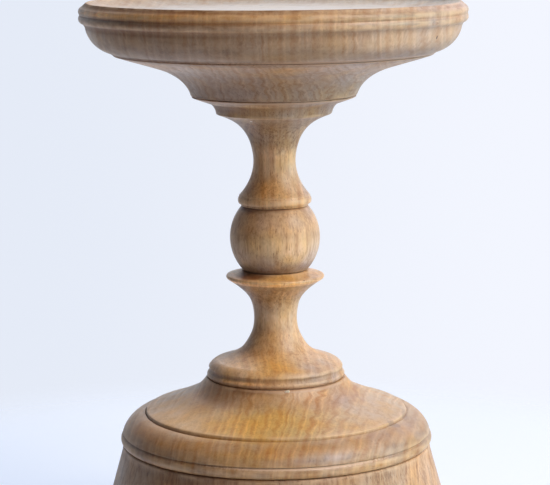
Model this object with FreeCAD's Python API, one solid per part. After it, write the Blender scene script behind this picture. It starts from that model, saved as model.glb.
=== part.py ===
import FreeCAD, Part
import math
import os

# A turned oak candle stand: a shallow dish on a stem with a separate ball between
# two coves, and a domed base. Every wooden piece is turned about the Z axis.
# Lengths are in millimetres, +Z is up, and the origin is on the axis, at the
# surface that the stand rests on. Each piece is drawn as a half section, with
# its heights counted from its own underside.

os.makedirs("parts", exist_ok=True)

# Fits shared by several pieces
glue_clearance = 0.15
felt_clearance = 0.3
cut_overrun = 1.0

# Felt pad, let into the underside of the plinth
felt_radius = 60.0
felt_thickness = 2.0
felt_proud = 0.6
felt_edge_round = 0.5

# Plinth, the lowest disc
plinth_height = 9.4
plinth_top_radius = 63.9
plinth_foot_radius = 64.6
plinth_fillet_height = 1.1
plinth_bead_bulge = 2.2
plinth_arris = 0.8
plinth_hole_radius = 7.0

# Base body, the flared disc above the plinth
body_height = 30.4
body_foot_radius = 63.7
body_neck_radius = 56.1
body_neck_drop = 2.6
body_top_radius = 55.8
body_quirk_height = 0.5
body_quirk_depth = 0.5
body_arris = 0.4

# Base dome: a small bead, a broad torus, an incised ring and a sloping field a step above it
dome_height = 24.1
dome_joint_radius = 55.7
dome_joint_lip = 0.3
dome_bead_height = 3.5
dome_bead_bulge = 0.85
dome_quirk_width = 0.5
dome_quirk_depth = 0.6
torus_foot_radius = 55.9
torus_crown_radius = 47.7
torus_rise = 7.1
torus_bulge = 1.5
ring_width = 0.6
ring_depth = 0.6
field_lift = 0.95
field_radius = 31.0
field_drop = 5.4
field_hollow = 0.35
land_radius = 25.2
land_hollow = 0.6

# Lower stem: a foot bead, a narrow hollow, a cushion, a cove and a dished flange
lower_height = 39.1
foot_radius = 24.5
foot_lip = 0.2
foot_bead_height = 1.8
foot_bead_bulge = 0.5
foot_hollow_height = 1.9
foot_hollow_depth = 0.4
cushion_foot_radius = 24.4
cushion_radius = 20.5
cushion_height = 6.6
cushion_bulge = 0.52
lower_waist_radius = 7.73
lower_waist_height = 22.0
flange_radius = 17.35
flange_under_height = 36.1
flange_edge_height = 1.4
flange_edge_bulge = 0.4
flange_seat_radius = 12.3
flange_hollow = 0.2
lower_foot_shares = [(0.585, 0.87), (0.385, 0.766), (0.18, 0.545), (0.06, 0.34)]
lower_flange_shares = [(0.03, 0.21), (0.15, 0.48), (0.41, 0.70), (0.75, 0.89)]

# Ball, flattened where it meets the two stems
ball_radius = 16.2
ball_low_reach = 12.0
ball_low_seat_radius = 11.4
ball_high_reach = 11.4
ball_high_seat_radius = 11.9

# Upper stem: a collar, a cove and a flared cap
upper_height = 39.7
neck_radius = 12.1
neck_height = 0.9
collar_foot_radius = 12.9
collar_radius = 12.85
collar_height = 2.5
collar_bulge = 0.35
collar_quirk_width = 0.3
collar_quirk_depth = 0.3
upper_waist_radius = 7.56
upper_waist_height = 15.9
cap_arris_radius = 20.4
cap_arris_height = 33.0
cap_arris_round = 0.35
cap_ring_radius = 20.75
cap_ring_rise = 0.6
cap_slope_radius = 22.7
cap_slope_height = 36.8
cap_hollow = 0.35
cap_radius = 29.3
cap_edge_height = 0.6
cap_edge_bulge = 0.2
upper_collar_shares = [(0.475, 0.70), (0.20, 0.45), (0.05, 0.21)]
upper_cap_shares = [(0.04, 0.27), (0.16, 0.53), (0.43, 0.785), (0.67, 0.90)]

# Boss, the coved disc under the dish
boss_height = 15.1
boss_foot_radius = 29.6
boss_lip_radius = 57.3
boss_lip_height = 0.6
boss_lip_bulge = 0.2
boss_cove_radius = 56.5
boss_cove_shares = [(0.944, 0.78), (0.855, 0.60), (0.78, 0.50), (0.665, 0.385), (0.49, 0.27), (0.30, 0.166)]

# Dish
dish_height = 18.2
dish_seat_radius = 57.5
dish_lip_height = 0.6
dish_lip_radius = 58.1
dish_side_radius = 66.5
dish_side_height = 8.7
dish_side_bulge = 1.62
dish_low_bead_foot_radius = 67.5
dish_low_bead_foot_height = 10.9
dish_side_hollow = 0.25
dish_low_bead_top = 13.9
dish_notch_radius = 68.45
dish_low_bead_bulge = 0.92
dish_high_bead_top = 16.4
dish_high_bead_radius = 68.4
dish_high_bead_bulge = 0.48
dish_crest_radius = 66.45
dish_crest_width = 0.7
dish_crest_round = 0.18
dish_slope_hollow = 0.1
dish_recess_depth = 3.6
dish_floor_radius = 52.0
dish_cove_hollow = 0.95

# Round tenons on the stems, their mortises, and the dowel through the ball
tenon_radius = 9.0
tenon_chamfer = 0.8
mortise_end_gap = 0.5
upper_tenon_in_dish = 8.4
lower_tenon_in_body = 13.6
dowel_radius = 4.0
dowel_length_each_side = 13.0
dowel_chamfer = 0.6

# Countersunk wood screw that draws the lower tenon down into the base
screw_radius = 2.25
screw_length = 40.0
screw_tip_length = 5.0
screw_head_radius = 4.5
screw_head_height = 2.6
screw_sink = 0.3
screw_slot_width = 1.1
screw_slot_depth = 1.2
screw_clearance = 0.2

# Levels of the undersides, from the bottom up
plinth_level = felt_proud
body_level = plinth_level + plinth_height
dome_level = body_level + body_height
lower_level = dome_level + dome_height
ball_level = lower_level + lower_height
upper_level = ball_level + ball_low_reach + ball_high_reach
boss_level = upper_level + upper_height
dish_level = boss_level + boss_height


class Outline:
    """The half section of one piece: radii along X, heights along Z."""

    def __init__(self, radius, height):
        self.first = FreeCAD.Vector(radius, 0, height)
        self.last = self.first
        self.edges = []

    def line(self, radius, height):
        end = FreeCAD.Vector(radius, 0, height)
        self.edges.append(Part.makeLine(self.last, end))
        self.last = end

    def arc(self, radius, height, bulge):
        """An arc whose middle stands off its chord, out of the wood where bulge is positive."""
        end = FreeCAD.Vector(radius, 0, height)
        chord = end - self.last
        outward = FreeCAD.Vector(chord.z, 0, -chord.x).normalize()
        middle = (self.last + end) / 2 + outward * bulge
        self.edges.append(Part.Arc(self.last, middle, end).toShape())
        self.last = end

    def curve(self, spots):
        """A smooth curve from here through every spot."""
        points = [self.last] + [FreeCAD.Vector(radius, 0, height) for radius, height in spots]
        line = Part.BSplineCurve()
        line.interpolate(points)
        self.edges.append(line.toShape())
        self.last = points[-1]

    def turned(self, level):
        """The solid that the closed section sweeps about the axis, stood at its level."""
        self.line(self.first.x, self.first.z)
        section = Part.Face(Part.Wire(self.edges))
        solid = section.revolve(FreeCAD.Vector(0, 0, 0), FreeCAD.Vector(0, 0, 1), 360)
        solid.translate(FreeCAD.Vector(0, 0, level))
        return solid


def spots_between(start, end, shares):
    """The spots at these shares of the way from start to end, radius and height apart."""
    return [
        (start[0] + (end[0] - start[0]) * across, start[1] + (end[1] - start[1]) * along)
        for across, along in shares
    ]


def felt_pad():
    section = Outline(0, 0)
    section.line(felt_radius - felt_edge_round, 0)
    section.line(felt_radius, felt_edge_round)
    section.line(felt_radius, felt_thickness)
    section.line(0, felt_thickness)
    return section.turned(0)


def plinth():
    felt_bed = felt_thickness - felt_proud
    bead_top = plinth_height - plinth_fillet_height
    section = Outline(plinth_hole_radius, felt_bed)
    section.line(felt_radius + felt_clearance, felt_bed)
    section.line(felt_radius + felt_clearance, 0)
    section.line(plinth_foot_radius - plinth_arris, 0)
    section.line(plinth_foot_radius, plinth_arris)
    section.arc(plinth_top_radius, bead_top, plinth_bead_bulge)
    section.line(plinth_top_radius, plinth_height)
    section.line(plinth_hole_radius, plinth_height)
    return section.turned(plinth_level)


def base_body():
    mortise_floor = body_height - lower_tenon_in_body - mortise_end_gap
    mortise_radius = tenon_radius + glue_clearance
    hole_radius = screw_radius + screw_clearance
    sink_radius = screw_head_radius + screw_clearance
    section = Outline(sink_radius, 0)
    section.line(body_foot_radius - body_arris, 0)
    section.line(body_foot_radius, body_arris)
    section.line(body_neck_radius, body_height - body_neck_drop)
    section.line(body_top_radius, body_height - body_quirk_height)
    section.line(body_top_radius - body_quirk_depth, body_height)
    section.line(mortise_radius, body_height)
    section.line(mortise_radius, mortise_floor)
    section.line(hole_radius, mortise_floor)
    section.line(hole_radius, screw_sink + screw_head_height)
    section.line(sink_radius, screw_sink)
    return section.turned(body_level)


def base_dome():
    mortise_radius = tenon_radius + glue_clearance
    bead_top = dome_joint_lip + dome_bead_height
    torus_foot = bead_top + dome_quirk_width
    torus_crown = torus_foot + torus_rise
    section = Outline(mortise_radius, 0)
    section.line(dome_joint_radius - body_quirk_depth, 0)
    section.line(dome_joint_radius, dome_joint_lip)
    section.arc(dome_joint_radius, bead_top, dome_bead_bulge)
    section.line(torus_foot_radius - dome_quirk_depth, bead_top + dome_quirk_width / 2)
    section.line(torus_foot_radius, torus_foot)
    section.arc(torus_crown_radius, torus_crown, torus_bulge)
    section.line(torus_crown_radius - ring_width / 2, torus_crown - ring_depth)
    section.line(torus_crown_radius - ring_width, torus_crown + field_lift)
    section.arc(field_radius, dome_height - field_drop, -field_hollow)
    section.arc(land_radius, dome_height, -land_hollow)
    section.line(mortise_radius, dome_height)
    return section.turned(dome_level)


def lower_stem():
    tenon_length = dome_height + lower_tenon_in_body
    bead_top = foot_lip + foot_bead_height
    cushion_foot = bead_top + foot_hollow_height
    waist = (lower_waist_radius, lower_waist_height)
    cushion = (cushion_radius, cushion_height)
    flange = (flange_radius, flange_under_height)
    dowel_hole_radius = dowel_radius + glue_clearance
    dowel_hole_floor = lower_height - dowel_length_each_side - mortise_end_gap
    pilot_radius = screw_radius + screw_clearance
    pilot_length = screw_length - (body_height - lower_tenon_in_body) + screw_sink + mortise_end_gap
    section = Outline(pilot_radius, -tenon_length)
    section.line(tenon_radius - tenon_chamfer, -tenon_length)
    section.line(tenon_radius, tenon_chamfer - tenon_length)
    section.line(tenon_radius, 0)
    section.line(foot_radius, 0)
    section.line(foot_radius, foot_lip)
    section.arc(foot_radius, bead_top, foot_bead_bulge)
    section.arc(cushion_foot_radius, cushion_foot, -foot_hollow_depth)
    section.arc(cushion_radius, cushion_height, cushion_bulge)
    section.curve(
        spots_between(waist, cushion, lower_foot_shares)
        + [waist]
        + spots_between(waist, flange, lower_flange_shares)
        + [flange]
    )
    section.arc(flange_radius, flange_under_height + flange_edge_height, flange_edge_bulge)
    section.arc(flange_seat_radius, lower_height, -flange_hollow)
    section.line(dowel_hole_radius, lower_height)
    section.line(dowel_hole_radius, dowel_hole_floor)
    section.line(0, dowel_hole_floor)
    section.line(0, pilot_length - tenon_length)
    section.line(pilot_radius, pilot_length - tenon_length)
    return section.turned(lower_level)


def upright_bulge(seat_radius, reach):
    """The bulge of an arc from a seat of the ball to its equator, upright at the equator."""
    half_turn = math.atan2(ball_radius - seat_radius, reach)
    return reach / math.sin(2 * half_turn) * (1 - math.cos(half_turn))


def ball():
    height = ball_low_reach + ball_high_reach
    hole_radius = dowel_radius + glue_clearance
    section = Outline(hole_radius, 0)
    section.line(ball_low_seat_radius, 0)
    section.arc(ball_radius, ball_low_reach, upright_bulge(ball_low_seat_radius, ball_low_reach))
    section.arc(ball_high_seat_radius, height, upright_bulge(ball_high_seat_radius, ball_high_reach))
    section.line(hole_radius, height)
    return section.turned(ball_level)


def stem_dowel():
    length = ball_low_reach + ball_high_reach + 2 * dowel_length_each_side
    section = Outline(0, 0)
    section.line(dowel_radius - dowel_chamfer, 0)
    section.line(dowel_radius, dowel_chamfer)
    section.line(dowel_radius, length - dowel_chamfer)
    section.line(dowel_radius - dowel_chamfer, length)
    section.line(0, length)
    return section.turned(ball_level - dowel_length_each_side)


def upper_stem():
    tenon_top = upper_height + boss_height + upper_tenon_in_dish
    collar_top = neck_height + collar_height
    waist = (upper_waist_radius, upper_waist_height)
    collar = (collar_radius, collar_top + collar_quirk_width)
    arris = (cap_arris_radius, cap_arris_height)
    hole_radius = dowel_radius + glue_clearance
    hole_top = dowel_length_each_side + mortise_end_gap
    section = Outline(hole_radius, 0)
    section.line(neck_radius, 0)
    section.line(neck_radius, neck_height)
    section.line(collar_foot_radius, neck_height)
    section.arc(collar_radius, collar_top, collar_bulge)
    section.line(collar_radius - collar_quirk_depth, collar_top + collar_quirk_width / 2)
    section.line(*collar)
    section.curve(
        spots_between(waist, collar, upper_collar_shares)
        + [waist]
        + spots_between(waist, arris, upper_cap_shares)
        + [arris]
    )
    section.arc(cap_ring_radius, cap_arris_height + cap_ring_rise, cap_arris_round / 2)
    section.arc(cap_slope_radius, cap_slope_height, -cap_hollow)
    section.line(cap_radius, upper_height - cap_edge_height)
    section.arc(cap_radius, upper_height, cap_edge_bulge)
    section.line(tenon_radius, upper_height)
    section.line(tenon_radius, tenon_top - tenon_chamfer)
    section.line(tenon_radius - tenon_chamfer, tenon_top)
    section.line(0, tenon_top)
    section.line(0, hole_top)
    section.line(hole_radius, hole_top)
    return section.turned(upper_level)


def dish_boss():
    mortise_radius = tenon_radius + glue_clearance
    foot = (boss_foot_radius, 0)
    cove = (boss_cove_radius, boss_height - boss_lip_height)
    inward = [(1 - across, 1 - along) for across, along in boss_cove_shares]
    section = Outline(mortise_radius, 0)
    section.line(*foot)
    section.curve(spots_between(foot, cove, inward) + [cove])
    section.arc(boss_lip_radius, boss_height, boss_lip_bulge)
    section.line(mortise_radius, boss_height)
    return section.turned(boss_level)


def dish():
    mortise_radius = tenon_radius + glue_clearance
    mortise_top = upper_tenon_in_dish + mortise_end_gap
    crest_height = dish_height - dish_crest_round
    floor_height = dish_height - dish_recess_depth
    section = Outline(0, mortise_top)
    section.line(mortise_radius, mortise_top)
    section.line(mortise_radius, 0)
    section.line(dish_seat_radius, 0)
    section.line(dish_lip_radius, dish_lip_height)
    section.arc(dish_side_radius, dish_side_height, dish_side_bulge)
    section.arc(dish_low_bead_foot_radius, dish_low_bead_foot_height, -dish_side_hollow)
    section.arc(dish_notch_radius, dish_low_bead_top, dish_low_bead_bulge)
    section.arc(dish_high_bead_radius, dish_high_bead_top, dish_high_bead_bulge)
    section.arc(dish_crest_radius, crest_height, -dish_slope_hollow)
    section.arc(dish_crest_radius - dish_crest_width, crest_height, dish_crest_round)
    section.arc(dish_floor_radius, floor_height, -dish_cove_hollow)
    section.line(0, floor_height)
    return section.turned(dish_level)


def base_screw():
    head_top = screw_head_height
    section = Outline(0, 0)
    section.line(screw_head_radius, 0)
    section.line(screw_radius, head_top)
    section.line(screw_radius, screw_length - screw_tip_length)
    section.line(0, screw_length)
    screw = section.turned(0)
    slot = Part.makeBox(
        screw_slot_width,
        2 * (screw_head_radius + cut_overrun),
        screw_slot_depth + cut_overrun,
        FreeCAD.Vector(-screw_slot_width / 2, -screw_head_radius - cut_overrun, -cut_overrun),
    )
    screw = screw.cut(slot)
    screw.translate(FreeCAD.Vector(0, 0, body_level + screw_sink))
    return screw


pieces = {
    "felt_pad": felt_pad,
    "plinth": plinth,
    "base_body": base_body,
    "base_dome": base_dome,
    "base_screw": base_screw,
    "lower_stem": lower_stem,
    "stem_dowel": stem_dowel,
    "ball": ball,
    "upper_stem": upper_stem,
    "dish_boss": dish_boss,
    "dish": dish,
}

for name, make in pieces.items():
    shape = make()
    box = shape.BoundBox
    print(name, shape.isValid(), len(shape.Solids), round(shape.Volume / 1000, 2), "cm3",
          "z", round(box.ZMin, 2), round(box.ZMax, 2), "r", round(box.XMax, 2))
    shape.exportStep("parts/" + name + ".step")
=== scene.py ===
import math

import bmesh
import bpy
import numpy as np
from mathutils import Matrix, Vector
from mathutils.kdtree import KDTree


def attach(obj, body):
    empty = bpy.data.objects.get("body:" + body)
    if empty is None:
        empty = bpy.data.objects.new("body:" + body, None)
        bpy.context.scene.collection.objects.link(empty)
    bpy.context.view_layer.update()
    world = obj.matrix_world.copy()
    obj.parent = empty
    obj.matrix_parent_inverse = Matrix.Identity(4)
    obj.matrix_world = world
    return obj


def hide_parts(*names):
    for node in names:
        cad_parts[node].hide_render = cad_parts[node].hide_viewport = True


# A turned oak candle stand, waxed and handled. Every turned piece is spun again
# from its own half section in the frame, with softened arrises, and carries three
# values on its surface: how far it is a worn edge, a crevice, or the hollow beside one.
# Lengths are in metres. The wood's pattern, its tones, the painted light and shade, and the
# marks are laid out in millimetres, from the middle of the stand's foot. Light and shade are
# painted into the wood's colour: shadows, shade in crevices and under parts, highlights and reflections.

MM = 0.001
origin = (0.0, 0.0, 0.0)

# Turning: how finely a half section is followed, and how its arrises are eased
weld_distance = 0.001 * MM
plane_tolerance = 0.0001 * MM
section_step = 0.1 * MM
crisp_ease = 0.11 * MM
worn_ease = 0.50 * MM
form_ease = 1.2 * MM
ease_span = 3.5
edge_depth = 0.20 * MM
crevice_depth = 0.22 * MM
joint_reach = 1.5 * MM
section_tolerance = 0.006 * MM
hollow_reach = 0.9 * MM
hollow_gain = 2.2
value_weight = 0.10 * MM
facet_width = 1.35 * MM
facet_step = 8
fewest_facets = 96

# Wear round a piece: its average, its swing, how much more there is on the right, and its
# waves, each a number round the piece and a size, which drift along the outline
mean_wear = 0.35
wear_swing = 0.35
right_wear = 0.5
wear_waves = ((2, 0.9), (3, 0.7), (5, 0.5), (9, 0.35), (14, 0.2))
wear_drift = 12 * MM
wear_seed = 11

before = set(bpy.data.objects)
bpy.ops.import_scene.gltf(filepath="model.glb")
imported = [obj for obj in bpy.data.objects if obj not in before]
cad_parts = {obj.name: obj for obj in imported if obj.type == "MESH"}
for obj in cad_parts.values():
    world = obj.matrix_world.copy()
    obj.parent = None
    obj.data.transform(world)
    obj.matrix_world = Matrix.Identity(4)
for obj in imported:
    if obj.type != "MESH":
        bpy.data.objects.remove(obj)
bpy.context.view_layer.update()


class Graph:
    """Adds nodes to a node tree. Any input takes a plain value or another node's socket."""

    def __init__(self, tree):
        self.tree = tree

    def node(self, kind, inputs=None, **settings):
        node = self.tree.nodes.new(kind)
        for name, value in settings.items():
            setattr(node, name, value)
        for key, value in (inputs or {}).items():
            if isinstance(value, bpy.types.NodeSocket):
                self.tree.links.new(value, node.inputs[key])
            else:
                node.inputs[key].default_value = value
        return node

    def math(self, operation, *values, clamp=False):
        inputs = dict(enumerate(values))
        return self.node("ShaderNodeMath", inputs, operation=operation, use_clamp=clamp).outputs[0]

    def times(self, value, *others):
        """The product of two or more values."""
        for other in others:
            value = self.math("MULTIPLY", value, other)
        return value

    def vector(self, operation, *values):
        node = self.node("ShaderNodeVectorMath", dict(enumerate(values)), operation=operation)
        return node.outputs["Value" if operation in ("DOT_PRODUCT", "LENGTH") else "Vector"]

    def noise(self, vector, stretch=(1, 1, 1), detail=1.0, roughness=0.5, seed=0.0):
        """Smooth noise, about 0.5 on average, whose grain is stretched to these lengths."""
        inputs = {0: vector, 1: tuple(1 / length for length in stretch), 2: (seed, seed * 1.7, -seed)}
        place = self.node("ShaderNodeVectorMath", inputs, operation="MULTIPLY_ADD").outputs["Vector"]
        inputs = {"Vector": place, "Scale": 1.0, "Detail": detail, "Roughness": roughness}
        return self.node("ShaderNodeTexNoise", inputs).outputs["Fac"]

    def ramp(self, value, low, high, start=0.0, end=1.0, smooth=True):
        """Start below low, end above high, and a smooth or straight change between."""
        kind = "SMOOTHSTEP" if smooth else "LINEAR"
        inputs = {"Value": value, "From Min": low, "From Max": high, "To Min": start, "To Max": end}
        return self.node("ShaderNodeMapRange", inputs, interpolation_type=kind).outputs["Result"]

    def mix(self, share, first, second, blend="MIX"):
        inputs = {0: share, 6: first, 7: second}
        return self.node("ShaderNodeMix", inputs, data_type="RGBA", blend_type=blend).outputs[2]

    def blend(self, share, first, second):
        """One shader giving way to another as the share goes from 0 to 1."""
        inputs = {0: share, 1: first.outputs[0], 2: second.outputs[0]}
        return self.node("ShaderNodeMixShader", inputs)

    def group(self, name, inputs):
        return self.node("ShaderNodeGroup", inputs, node_tree=groups[name]).outputs

    def from_axis(self, vector):
        """The parts of a place on the piece, and how far it is from the turning axis."""
        parts = self.node("ShaderNodeSeparateXYZ", {0: vector}).outputs
        flat = self.node("ShaderNodeCombineXYZ", {0: parts["X"], 1: parts["Y"]}).outputs[0]
        return parts, self.vector("LENGTH", flat)


groups = {}


def placed(name, data):
    """A new object of this data, in the scene."""
    item = bpy.data.objects.new(name, data)
    bpy.context.scene.collection.objects.link(item)
    return item


def colour(red, green, blue):
    """A colour given as it looks on a screen, 0 to 255, as the linear values that nodes take."""
    def linear(value):
        share = value / 255
        return share / 12.92 if share <= 0.04045 else ((share + 0.055) / 1.055) ** 2.4

    return (linear(red), linear(green), linear(blue), 1.0)


def new_group(name, inputs, outputs):
    """An empty shader group with named sockets, the first of them a place in millimetres.

    What comes back is its graph, its input sockets and its output node.
    """
    group = bpy.data.node_groups.new(name, "ShaderNodeTree")
    groups[name] = group
    for label, value in {"Vector": origin, **inputs}.items():
        kind = "NodeSocketFloat"
        if isinstance(value, tuple):
            kind = "NodeSocketColor" if len(value) == 4 else "NodeSocketVector"
        socket = group.interface.new_socket(label, in_out="INPUT", socket_type=kind)
        socket.default_value = value
    for label, kind in outputs.items():
        group.interface.new_socket(label, in_out="OUTPUT", socket_type="NodeSocket" + kind)
    given = group.nodes.new("NodeGroupInput").outputs
    made = group.nodes.new("NodeGroupOutput")
    return Graph(group), given, made


def finish_group(graph, made, results):
    """Sends the named results to the group's output node."""
    for label, socket in results.items():
        graph.tree.links.new(socket, made.inputs[label])


# Oak colours under the wax, and the tints of the pattern over them
pale_wood = colour(176, 150, 122)
golden_wood = colour(184, 144, 91)
line_tint = (0.84, 0.64, 0.44, 1.0)
streak_tint = (0.68, 0.57, 0.47, 1.0)
pore_tint = (0.50, 0.38, 0.28, 1.0)
rubbed_tint = (1.30, 1.28, 1.26, 1.0)
light_tint = (1.35, 1.32, 1.28, 1.0)

# The oak's pattern: lengths across the rings, along them and along the grain
sway_lengths = (34, 34, 95)
ripple_lengths = (4.4, 4.4, 5.5)
scale_lengths = (9, 9, 9)
scale_patch_lengths = (15, 15, 18)
faded_lengths = (6, 6, 9)
pore_lengths = (0.40, 0.40, 3.4)
grit_lengths = (0.55, 0.55, 1.3)
fibre_lengths = (0.8, 0.8, 9.0)
band_lengths = (2.3, 2.3, 30.0)
cloud_lengths = (11.0, 11.0, 17.0)
blotch_lengths = (1.0, 1.0, 1.3)

# What turns noise about zero into about one either way, how unevenly the years are spaced,
# and how far the lines swing and wander where there are scales
full_swing = 4.0
pace_scale = 0.37
pace_swing = 1.9
scale_swing = 0.30
scale_wander = 14.0

# How far into a year the dark line of late wood, and the pale wood after it, begin and end
line_rise = (0.26, 0.46)
line_fall = (0.50, 0.82, 1.0, 0.0)
pale_rise = (0.70, 0.86)
pale_fall = (0.9, 1.1, 1.0, 0.0)

# Where a pore opens, how much sooner it does in a dark line, and how soft its edge is
pore_level = 0.62
pore_crowding = 0.05
pore_softness = 0.10

# Ramps from noise to pattern: their start and end, and where they don't go from 0 to 1, what
# they go from and to
scale_patch_ramp = (0.34, 0.54, 0.3, 1.0)
chance_ramp = (0.0, 1.0, 0.6, 1.0)
faded_ramp = (0.30, 0.58, 0.5, 1.0)
dark_streak_ramp = (0.50, 0.66, 1.0, 0.0)
pale_streak_ramp = (0.66, 0.82)
grit_ramp = (0.3, 0.7, 0.32, 0.0)
stained_ramp = (0.47, 0.66)
rubbed_ramp = (0.28, 0.42, 1.0, 0.0)

# What each part of the pattern adds to streaks and to light wood, to the relief and to the gloss
band_streak = 0.6
fibre_streak = 0.7
pale_side_light = 0.8
pale_streak_light = 0.3
flat_relief = 0.75
line_relief = -0.25
pore_relief = -0.45
grit_relief = 0.25
fibre_relief = 0.2
plain_gloss = 0.4
golden_gloss = 0.4
pore_gloss = -0.6


def oak_figure_group():
    """Growth rings, open pores and rays of oak.

    X runs across the rings, Y along them, and Z along the grain.
    """
    inputs = {
        "Ring Width": 3.4, "Ring Wander": 2.0, "Ripple": 0.6, "Line Strength": 0.6,
        "Scale Strength": 0.3, "Scale Height": 3.0, "Pore Depth": 0.6, "Streak Strength": 0.5,
        "Golden": 0.5, "Cloud": 3.2, "Mottle": 0.0,
        "Pale Wood": pale_wood, "Golden Wood": golden_wood,
        "Line Tint": line_tint, "Streak Tint": streak_tint, "Pore Tint": pore_tint,
    }
    outputs = {"Colour": "Color", "Relief": "Float", "Gloss": "Float"}
    g, given, made = new_group("oak figure", inputs, outputs)
    place = given["Vector"]
    parts = g.node("ShaderNodeSeparateXYZ", {0: place}).outputs
    wander = g.math("SUBTRACT", g.noise(place, sway_lengths, seed=3.1), 0.5)
    ripple = g.math("SUBTRACT", g.noise(place, ripple_lengths, seed=7.7), 0.5)
    across = g.math("MULTIPLY_ADD", wander, g.times(given["Ring Wander"], full_swing), parts["X"])
    across = g.math("MULTIPLY_ADD", ripple, g.times(given["Ripple"], full_swing), across)
    count = g.math("DIVIDE", across, given["Ring Width"])
    inputs = {"W": count, "Scale": pace_scale, "Detail": 1.0}
    pace = g.node("ShaderNodeTexNoise", inputs, noise_dimensions="1D")
    count = g.math("MULTIPLY_ADD", pace.outputs["Fac"], pace_swing, count)
    year = g.math("FLOOR", count)

    # Where rays cross the rings, neighbouring lines swing towards each other and enclose scales
    other = g.math("MULTIPLY_ADD", g.math("FLOORED_MODULO", year, 2.0), 2.0, -1.0)
    turns = g.math("DIVIDE", g.times(parts["Z"], 2 * math.pi), given["Scale Height"])
    turns = g.math("MULTIPLY_ADD", g.noise(place, scale_lengths, seed=21.0), scale_wander, turns)
    scale_patch = g.ramp(g.noise(place, scale_patch_lengths, seed=2.6), *scale_patch_ramp)
    swing = g.times(g.math("SINE", turns), other, scale_patch, given["Scale Strength"], scale_swing)
    season = g.math("ADD", g.math("FRACT", count), swing)

    chance = g.node("ShaderNodeTexWhiteNoise", {"W": year}, noise_dimensions="1D").outputs["Value"]
    chance = g.ramp(chance, *chance_ramp, smooth=False)
    faded = g.ramp(g.noise(place, faded_lengths, seed=31.0), *faded_ramp)
    strength = g.times(chance, given["Line Strength"], faded)
    line = g.times(g.ramp(season, *line_rise), g.ramp(season, *line_fall), strength)
    pale_side = g.times(g.ramp(season, *pale_rise), g.ramp(season, *pale_fall), strength)

    pore_field = g.noise(place, pore_lengths, seed=5.0)
    pore_edge = g.math("MULTIPLY_ADD", line, -pore_crowding, pore_level)
    pores = g.ramp(g.math("SUBTRACT", pore_field, pore_edge), 0.0, pore_softness)
    pores = g.times(pores, given["Pore Depth"])
    grit = g.noise(place, grit_lengths, 2.0, 0.7, seed=17.0)
    fibre = g.noise(place, fibre_lengths, 2.0, 0.6, seed=9.2)
    band = g.noise(place, band_lengths, seed=15.0)
    streak = g.math("MULTIPLY_ADD", band, band_streak, g.times(fibre, fibre_streak))
    dark_streak = g.times(g.ramp(streak, *dark_streak_ramp), given["Streak Strength"])
    pale_streak = g.times(g.ramp(streak, *pale_streak_ramp), given["Streak Strength"])

    cloud = g.math("SUBTRACT", g.noise(place, cloud_lengths, 2.0, seed=12.0), 0.5)
    golden = g.math("MULTIPLY_ADD", cloud, given["Cloud"], given["Golden"], clamp=True)
    shade = g.mix(golden, given["Pale Wood"], given["Golden Wood"])
    shade = g.mix(line, shade, given["Line Tint"], "MULTIPLY")
    shade = g.mix(dark_streak, shade, given["Streak Tint"], "MULTIPLY")
    shade = g.mix(g.ramp(grit, *grit_ramp), shade, given["Streak Tint"], "MULTIPLY")
    blotch = g.noise(place, blotch_lengths, 2.0, 0.65, seed=26.0)
    stained = g.times(g.ramp(blotch, *stained_ramp), given["Mottle"])
    shade = g.mix(stained, shade, given["Pore Tint"], "MULTIPLY")
    rubbed = g.times(g.ramp(blotch, *rubbed_ramp), given["Mottle"])
    shade = g.mix(rubbed, shade, rubbed_tint, "MULTIPLY")
    light = g.times(pale_streak, pale_streak_light)
    light = g.math("MULTIPLY_ADD", pale_side, pale_side_light, light, clamp=True)
    shade = g.mix(light, shade, light_tint, "MULTIPLY")
    shade = g.mix(pores, shade, given["Pore Tint"], "MULTIPLY")

    relief = g.math("MULTIPLY_ADD", line, line_relief, flat_relief)
    relief = g.math("MULTIPLY_ADD", pores, pore_relief, relief)
    relief = g.math("MULTIPLY_ADD", grit, grit_relief, relief)
    relief = g.math("MULTIPLY_ADD", fibre, fibre_relief, relief)
    gloss = g.math("MULTIPLY_ADD", golden, golden_gloss, plain_gloss)
    gloss = g.math("MULTIPLY_ADD", pores, pore_gloss, gloss, clamp=True)
    finish_group(g, made, {"Colour": shade, "Relief": relief, "Gloss": gloss})


# Wear, crevice dirt with painted shade, and wax: the lengths of their noise, and ramps as above
worn_lengths = (9.0, 9.0, 3.0)
worn_ramp = (0.35, 0.62)
# The side noise and ramp fade the crevice dirt and painted shade from the shaded left to the lit right
side_lengths = (19.0, 19.0, 11.0)
side_wander = 1.2
side_ramp = (-0.85, 0.7, 1.0, 0.1)
crumb_lengths = (1.1, 1.1, 0.8)
crumb_ramp = (0.3, 0.65, 0.6, 1.0)
rubbing_lengths = (3.0, 3.0, 0.5)
rubbing_share = 0.4
polish_ramp = (0.3, 0.7)


def worn_edge_group():
    """Where handling has rubbed an arris bare: the edge value, broken up by noise."""
    g, given, made = new_group("worn edge", {"Edge": 0.0, "Amount": 0.5}, {"Mask": "Float"})
    patch = g.ramp(g.noise(given["Vector"], worn_lengths, 3.0, 0.6, seed=2.3), *worn_ramp)
    mask = g.math("MULTIPLY", g.times(given["Edge"], patch), given["Amount"], clamp=True)
    finish_group(g, made, {"Mask": mask})


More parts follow.
